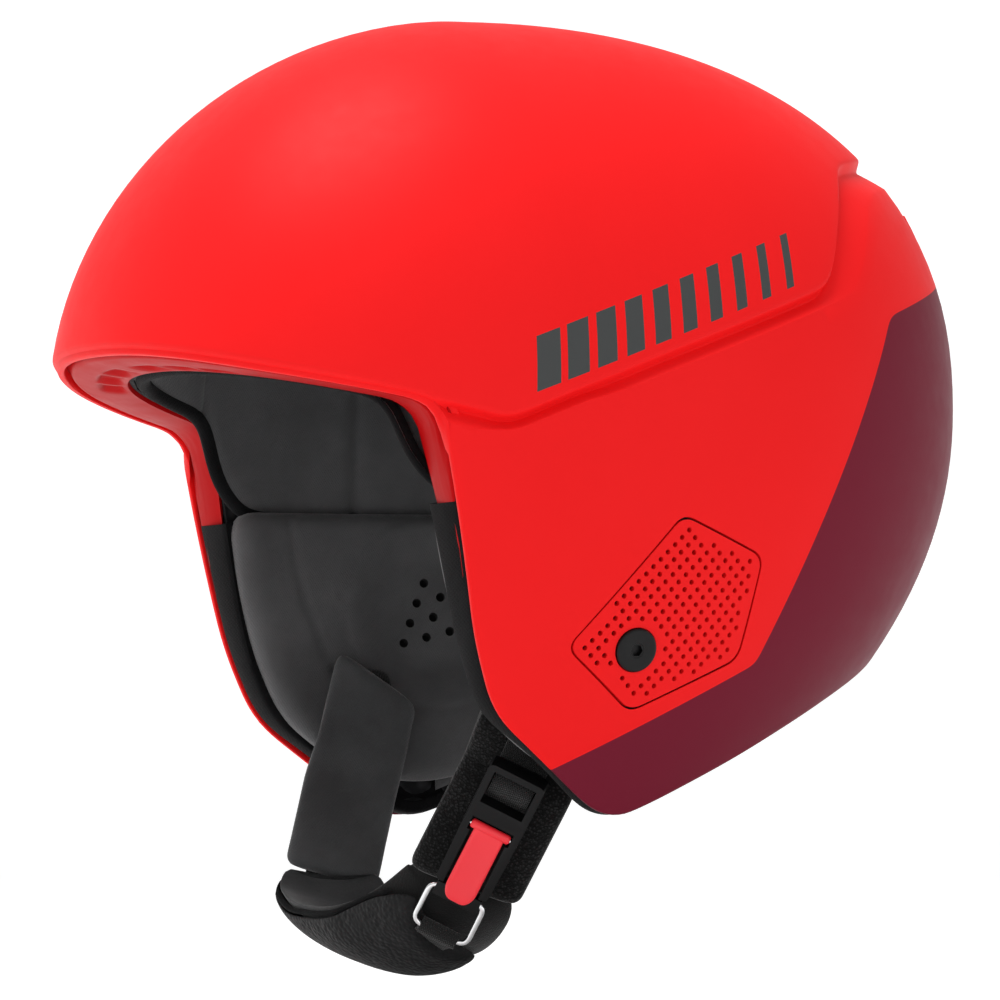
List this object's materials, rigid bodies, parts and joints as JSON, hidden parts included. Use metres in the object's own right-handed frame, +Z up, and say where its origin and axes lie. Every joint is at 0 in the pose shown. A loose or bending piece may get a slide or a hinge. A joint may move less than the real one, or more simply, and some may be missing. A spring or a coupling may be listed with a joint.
{
  "type": "ski helmet",
  "caption": "Full-shell ski racing helmet with raised crown, hard ear covers, padded lining, and a closed chin strap with cup and lever buckle.",
  "frame": {"origin": "middle of the head cavity, where a wearer's head holds the helmet", "axes": "+Z up, face opening towards -Y, wearer's left towards +X"},
  "size_m": [0.224, 0.2805, 0.2881],
  "materials": {
    "shell_red": "satin lacquer over ABS, with a dark maroon rear panel",
    "rim_red": "glossy",
    "foam": "black expanded polystyrene",
    "knit": "dark grey brushed knit",
    "loop_pile": "black loop pile",
    "webbing": "woven polyester webbing",
    "leather": "pebbled synthetic leather",
    "black_plastic": "fine moulded texture",
    "lever_red": "satin",
    "rubber": "matte",
    "bright_steel": "polished",
    "black_steel": "black oxide",
    "brass": "machined"
  },
  "bodies": {
    "helmet": {"outer_shell": "shell_red", "eps_liner": "foam", "face_rim": "rim_red", "neck_edge_trim": "rubber", "head_liner": "knit", "neck_roll_pad": "knit", "left_ear_pad": "knit", "right_ear_pad": "knit", "left_ear_vent_cover": "shell_red", "right_ear_vent_cover": "shell_red", "left_chin_guard_insert": "brass", "right_chin_guard_insert": "brass", "left_strap_anchor": "bright_steel", "right_strap_anchor": "bright_steel", "left_anchor_webbing": "webbing", "right_anchor_webbing": "webbing", "left_strap_pad_top": "loop_pile", "right_strap_pad_top": "knit", "goggle_holder_base": "shell_red", "goggle_holder_catch": "black_plastic", "goggle_arm_pin": "bright_steel"},
    "left_strap": {"left_strap_pad": "loop_pile", "left_strap_webbing": "webbing", "buckle_housing": "black_plastic", "lever_pin": "bright_steel", "lever_spring": "bright_steel"},
    "lever": {"buckle_lever": "lever_red"},
    "right_strap": {"right_strap_pad": "knit", "right_strap_webbing": "webbing"},
    "chin_cup": {"chin_cup_shell": "leather", "chin_cup_lining": "knit", "chin_cup_webbing": "webbing"},
    "ring": {"wire_ring": "bright_steel"},
    "tongue": {"buckle_tongue": "black_plastic"},
    "goggle_arm": {"goggle_strap_arm": "rubber"},
    "left_screw": {"left_chin_guard_screw": "black_steel"},
    "right_screw": {"right_chin_guard_screw": "black_steel"}
  },
  "joints": [
    {"name": "left_strap_swing", "type": "hinge", "parent": "helmet", "child": "left_strap", "pos_m": [0.066, -0.0203, -0.0795], "axis": [-0.3477, -0.8219, 0.4512], "range_deg": [0, 32]},
    {"name": "right_strap_swing", "type": "hinge", "parent": "helmet", "child": "right_strap", "pos_m": [-0.064, -0.022, -0.083], "axis": [0.3027, 0.9161, -0.2629], "range_deg": [0, 24]},
    {"name": "chin_cup_tilt", "type": "hinge", "parent": "right_strap", "child": "chin_cup", "pos_m": [-0.04505, -0.03696, -0.11331], "axis": [0, 1, 0], "range_deg": [0, 50]},
    {"name": "wire_ring_swing", "type": "hinge", "parent": "chin_cup", "child": "ring", "pos_m": [0.03734, -0.03594, -0.13008], "axis": [0.3477, 0.8219, -0.4512], "range_deg": [0, 90]},
    {"name": "tongue_turn", "type": "hinge", "parent": "ring", "child": "tongue", "pos_m": [0.04492, -0.03291, -0.11871], "axis": [0.3477, 0.8219, -0.4512], "range_deg": [0, 45]},
    {"name": "lever_press", "type": "hinge", "parent": "left_strap", "child": "lever", "pos_m": [0.06094, -0.02949, -0.10014], "axis": [-0.3477, -0.8219, 0.4512], "range_deg": [0, 50], "stiffness_Nm_per_rad": 0.02, "springref_deg": -11.46},
    {"name": "goggle_arm_lift", "type": "hinge", "parent": "helmet", "child": "goggle_arm", "pos_m": [0, 0.13239, 0.08116], "axis": [1, 0, 0], "range_deg": [0, 75]},
    {"name": "left_screw_turn", "type": "hinge", "parent": "helmet", "child": "left_screw", "pos_m": [0.10126, -0.001, -0.0475], "axis": [0.96, 0.0771, -0.269], "continuous": true},
    {"name": "right_screw_turn", "type": "hinge", "parent": "helmet", "child": "right_screw", "pos_m": [-0.10126, -0.001, -0.0475], "axis": [-0.96, 0.0771, -0.269], "continuous": true}
  ]
}
